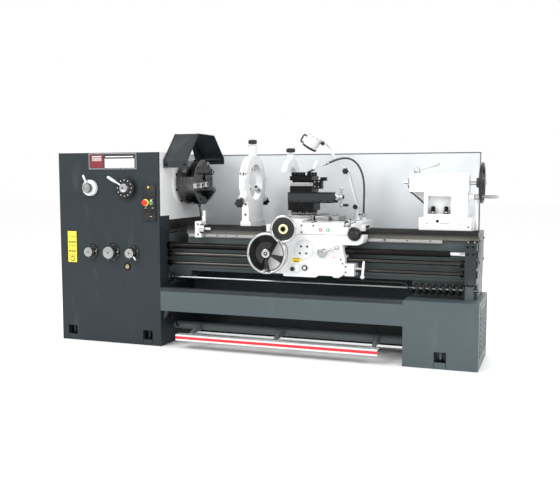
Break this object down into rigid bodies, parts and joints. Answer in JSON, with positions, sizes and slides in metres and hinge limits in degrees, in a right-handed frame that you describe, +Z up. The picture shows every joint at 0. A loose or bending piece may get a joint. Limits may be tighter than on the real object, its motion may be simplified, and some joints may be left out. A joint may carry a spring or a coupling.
{
  "type": "gap-bed centre lathe",
  "caption": "Gap-bed centre lathe on two pedestals with headstock and chuck, carriage with tool post, steady rests, tailstock and foot brake.",
  "frame": {"origin": "on the floor, under the middle of the whole machine", "axes": "+X from the headstock to the tailstock, +Y from the operator's side to the back splash guard, +Z up"},
  "size_m": [2.97, 0.87, 1.4553],
  "materials": {
    "slate_paint": "semi-gloss enamel",
    "grey_paint": "semi-gloss enamel",
    "white_paint": "semi-gloss enamel",
    "bright_steel": "ground",
    "oiled_steel": "oiled",
    "chrome_trim": "polished",
    "black_oxide": "black oxide",
    "black_plastic": "fine grain",
    "red_plastic": "gloss",
    "green_plastic": "gloss",
    "belt_rubber": "matt"
  },
  "bodies": {
    "machine_frame": {"left_pedestal": "slate_paint", "right_pedestal": "grey_paint", "chip_tray": "grey_paint", "bed": "slate_paint", "rack": "bright_steel", "headstock_casting": "white_paint", "front_cover": "slate_paint", "spindle_bearings": "bright_steel", "control_panel": "black_plastic", "splash_guard": "white_paint", "rod_bracket": "slate_paint", "cable_bar": "bright_steel", "main_motor": "slate_paint", "drive_belts": "belt_rubber", "curly_cable": "belt_rubber"},
    "spindle": {"spindle": "bright_steel", "chuck_body": "black_oxide"},
    "jaw_1": {"chuck_jaw_1": "bright_steel"},
    "jaw_2": {"chuck_jaw_2": "bright_steel"},
    "jaw_3": {"chuck_jaw_3": "bright_steel"},
    "motor_shaft": {"motor_pulley": "bright_steel"},
    "end_cover": {"end_cover": "slate_paint"},
    "chuck_guard": {"chuck_guard": "slate_paint"},
    "leadscrew": {"leadscrew": "oiled_steel"},
    "feed_rod": {"feed_rod": "oiled_steel"},
    "control_rod": {"control_rod": "oiled_steel"},
    "carriage": {"saddle": "white_paint", "apron": "white_paint", "follow_rest": "white_paint", "coolant_pipe": "slate_paint"},
    "spindle_lever": {"spindle_lever": "chrome_trim"},
    "apron_handwheel": {"apron_handwheel": "chrome_trim"},
    "half_nut_lever": {"half_nut_lever": "white_paint"},
    "feed_joystick": {"feed_joystick": "black_plastic"},
    "cross_slide": {"cross_slide": "bright_steel"},
    "cross_handwheel": {"cross_handwheel": "chrome_trim"},
    "compound": {"compound_base": "black_oxide"},
    "top_slide": {"top_slide": "black_oxide"},
    "top_slide_crank": {"top_slide_crank": "chrome_trim"},
    "tool_post": {"tool_post": "black_oxide"},
    "tool_post_handle": {"tool_post_handle": "bright_steel"},
    "lamp_lower_arm": {"lamp_lower_arm": "white_paint"},
    "lamp_upper_arm": {"lamp_upper_arm": "white_paint"},
    "lamp_head": {"lamp_head": "white_paint"},
    "tailstock": {"tailstock": "white_paint"},
    "quill": {"quill": "bright_steel"},
    "tail_handwheel": {"tail_handwheel": "chrome_trim"},
    "quill_lever": {"quill_lever": "bright_steel"},
    "tail_clamp_lever": {"tail_clamp_lever": "white_paint"},
    "steady": {"steady_rest": "white_paint"},
    "steady_top": {"steady_top": "white_paint"},
    "carriage_stop": {"carriage_stop": "white_paint"},
    "direction_lever": {"direction_lever": "white_paint"},
    "speed_dial": {"speed_dial": "black_plastic"},
    "gear_knob_1": {"gear_knob_1": "bright_steel"},
    "gear_knob_2": {"gear_knob_2": "bright_steel"},
    "gear_knob_3": {"gear_knob_3": "bright_steel"},
    "stop_button": {"stop_button": "red_plastic"},
    "start_button": {"start_button": "green_plastic"},
    "foot_brake": {"foot_brake": "white_paint"}
  },
  "joints": [
    {"name": "spindle_turn", "type": "hinge", "parent": "machine_frame", "child": "spindle", "pos_m": [-0.885, 0.055, 1.118], "axis": [1, 0, 0], "continuous": true},
    {"name": "jaw_1_slide", "type": "slide", "parent": "spindle", "child": "jaw_1", "axis": [0, 0.342, 0.9397], "range_m": [-0.038, 0.012]},
    {"name": "jaw_2_slide", "type": "slide", "parent": "spindle", "child": "jaw_2", "axis": [0, -0.9848, -0.1736], "range_m": [-0.038, 0.012]},
    {"name": "jaw_3_slide", "type": "slide", "parent": "spindle", "child": "jaw_3", "axis": [0, 0.6428, -0.766], "range_m": [-0.038, 0.012]},
    {"name": "motor_turn", "type": "hinge", "parent": "machine_frame", "child": "motor_shaft", "pos_m": [-1.385, 0.055, 0.205], "axis": [1, 0, 0], "continuous": true},
    {"name": "end_cover_swing", "type": "hinge", "parent": "machine_frame", "child": "end_cover", "pos_m": [-1.399, 0.371, 0.86], "axis": [0, 0, -1], "range_deg": [0, 110]},
    {"name": "guard_swing", "type": "hinge", "parent": "machine_frame", "child": "chuck_guard", "pos_m": [-0.605, 0.317, 1.284], "axis": [-1, 0, 0], "range_deg": [0, 75]},
    {"name": "leadscrew_turn", "type": "hinge", "parent": "machine_frame", "child": "leadscrew", "pos_m": [0.315, -0.175, 0.686], "axis": [1, 0, 0], "continuous": true},
    {"name": "feed_rod_turn", "type": "hinge", "parent": "machine_frame", "child": "feed_rod", "pos_m": [0.315, -0.175, 0.629], "axis": [1, 0, 0], "continuous": true},
    {"name": "control_rod_turn", "type": "hinge", "parent": "machine_frame", "child": "control_rod", "pos_m": [0.315, -0.175, 0.566], "axis": [1, 0, 0], "range_deg": [-20, 20]},
    {"name": "carriage_slide", "type": "slide", "parent": "machine_frame", "child": "carriage", "axis": [1, 0, 0], "range_m": [-0.13, 0.15], "deforming": ["curly_cable"]},
    {"name": "spindle_lever_turn", "type": "hinge", "parent": "carriage", "child": "spindle_lever", "pos_m": [0.698, -0.218, 0.58], "axis": [1, 0, 0], "range_deg": [-20, 20]},
    {"name": "apron_wheel_turn", "type": "hinge", "parent": "carriage", "child": "apron_handwheel", "pos_m": [0.088, -0.3, 0.668], "axis": [0, 1, 0], "continuous": true},
    {"name": "half_nut_turn", "type": "hinge", "parent": "carriage", "child": "half_nut_lever", "pos_m": [0.436, -0.26, 0.676], "axis": [0, 1, 0], "range_deg": [-8, 30]},
    {"name": "joystick_tilt", "type": "hinge", "parent": "carriage", "child": "feed_joystick", "pos_m": [0.642, -0.239, 0.798], "axis": [0, 1, 0], "range_deg": [-15, 15]},
    {"name": "cross_slide_move", "type": "slide", "parent": "carriage", "child": "cross_slide", "axis": [0, 1, 0], "range_m": [-0.1, 0.06]},
    {"name": "cross_wheel_turn", "type": "hinge", "parent": "carriage", "child": "cross_handwheel", "pos_m": [0.215, -0.3, 0.828], "axis": [0, -1, 0], "continuous": true},
    {"name": "compound_swivel", "type": "hinge", "parent": "cross_slide", "child": "compound", "pos_m": [0.229, 0.016, 0.92], "axis": [0, 0, -1], "range_deg": [-15, 60]},
    {"name": "top_slide_move", "type": "slide", "parent": "compound", "child": "top_slide", "axis": [1, 0, 0], "range_m": [-0.05, 0.05]},
    {"name": "top_crank_turn", "type": "hinge", "parent": "top_slide", "child": "top_slide_crank", "pos_m": [0.475, 0.016, 1.023], "axis": [-1, 0, 0], "continuous": true},
    {"name": "tool_post_turn", "type": "hinge", "parent": "top_slide", "child": "tool_post", "pos_m": [0.229, 0.016, 1.1], "axis": [0, 0, 1], "range_deg": [-90, 90]},
    {"name": "tool_post_handle_turn", "type": "hinge", "parent": "tool_post", "child": "tool_post_handle", "pos_m": [0.229, 0.016, 1.18], "axis": [0, 0, 1], "range_deg": [-30, 60]},
    {"name": "lamp_lower_tilt", "type": "hinge", "parent": "carriage", "child": "lamp_lower_arm", "pos_m": [0.542, 0.205, 0.953], "axis": [0, 1, 0], "range_deg": [-8, 8]},
    {"name": "lamp_elbow", "type": "hinge", "parent": "lamp_lower_arm", "child": "lamp_upper_arm", "pos_m": [0.474, 0.205, 1.193], "axis": [0, 1, 0], "range_deg": [-5, 10]},
    {"name": "lamp_head_tilt", "type": "hinge", "parent": "lamp_upper_arm", "child": "lamp_head", "pos_m": [0.306, 0.205, 1.383], "axis": [0, 1, 0], "range_deg": [-15, 30]},
    {"name": "tail_slide", "type": "slide", "parent": "machine_frame", "child": "tailstock", "axis": [1, 0, 0], "range_m": [-0.15, 0]},
    {"name": "quill_move", "type": "slide", "parent": "tailstock", "child": "quill", "axis": [-1, 0, 0], "range_m": [0, 0.15]},
    {"name": "tail_wheel_turn", "type": "hinge", "parent": "tailstock", "child": "tail_handwheel", "pos_m": [1.381, 0.055, 1.118], "axis": [1, 0, 0], "continuous": true},
    {"name": "quill_lever_turn", "type": "hinge", "parent": "tailstock", "child": "quill_lever", "pos_m": [0.976, 0.055, 1.19], "axis": [0, 0, 1], "range_deg": [-30, 60]},
    {"name": "tail_clamp_turn", "type": "hinge", "parent": "tailstock", "child": "tail_clamp_lever", "pos_m": [1.353, 0.037, 1.03], "axis": [1, 0, 0], "range_deg": [-12, 35]},
    {"name": "steady_slide", "type": "slide", "parent": "machine_frame", "child": "steady", "axis": [1, 0, 0], "range_m": [-0.15, 0.1]},
    {"name": "steady_open", "type": "hinge", "parent": "steady", "child": "steady_top", "pos_m": [-0.158, 0.247, 1.118], "axis": [-1, 0, 0], "range_deg": [0, 50]},
    {"name": "stop_slide", "type": "slide", "parent": "machine_frame", "child": "carriage_stop", "axis": [1, 0, 0], "range_m": [-0.05, 0.05]},
    {"name": "direction_turn", "type": "hinge", "parent": "machine_frame", "child": "direction_lever", "pos_m": [-1.228, -0.3, 1.079], "axis": [0, 1, 0], "range_deg": [-30, 30]},
    {"name": "speed_turn", "type": "hinge", "parent": "machine_frame", "child": "speed_dial", "pos_m": [-0.938, -0.3, 1.079], "axis": [0, 1, 0], "range_deg": [-90, 90]},
    {"name": "gear_1_turn", "type": "hinge", "parent": "machine_frame", "child": "gear_knob_1", "pos_m": [-1.229, -0.3, 0.636], "axis": [0, 1, 0], "range_deg": [-90, 90]},
    {"name": "gear_2_turn", "type": "hinge", "parent": "machine_frame", "child": "gear_knob_2", "pos_m": [-1.069, -0.3, 0.636], "axis": [0, 1, 0], "range_deg": [-90, 90]},
    {"name": "gear_3_turn", "type": "hinge", "parent": "machine_frame", "child": "gear_knob_3", "pos_m": [-0.905, -0.3, 0.636], "axis": [0, 1, 0], "range_deg": [-90, 90]},
    {"name": "stop_press", "type": "slide", "parent": "machine_frame", "child": "stop_button", "axis": [0, 1, 0], "range_m": [0, 0.003], "stiffness_N_per_m": 400, "springref_m": -0.004},
    {"name": "start_press", "type": "slide", "parent": "machine_frame", "child": "start_button", "axis": [0, 1, 0], "range_m": [0, 0.003], "stiffness_N_per_m": 300, "springref_m": -0.003},
    {"name": "brake_press", "type": "hinge", "parent": "machine_frame", "child": "foot_brake", "pos_m": [0.135, -0.11, 0.122], "axis": [1, 0, 0], "range_deg": [0, 10], "stiffness_Nm_per_rad": 60, "springref_deg": -28.65}
  ],
  "couplings": [
    {"joint": "jaw_2_slide", "follows": "jaw_1_slide", "ratio": 1},
    {"joint": "jaw_3_slide", "follows": "jaw_1_slide", "ratio": 1},
    {"joint": "motor_turn", "follows": "spindle_turn", "ratio": 1.9032},
    {"joint": "leadscrew_turn", "follows": "spindle_turn", "ratio": 0.25},
    {"joint": "feed_rod_turn", "follows": "spindle_turn", "ratio": 0.1},
    {"joint": "spindle_lever_turn", "follows": "control_rod_turn", "ratio": 1},
    {"joint": "apron_wheel_turn", "follows": "carriage_slide", "rad_per_m": 251.33},
    {"joint": "cross_wheel_turn", "follows": "cross_slide_move", "rad_per_m": 1256.6},
    {"joint": "top_crank_turn", "follows": "top_slide_move", "rad_per_m": 1570.8},
    {"joint": "tail_wheel_turn", "follows": "quill_move", "rad_per_m": 1047.2}
  ]
}
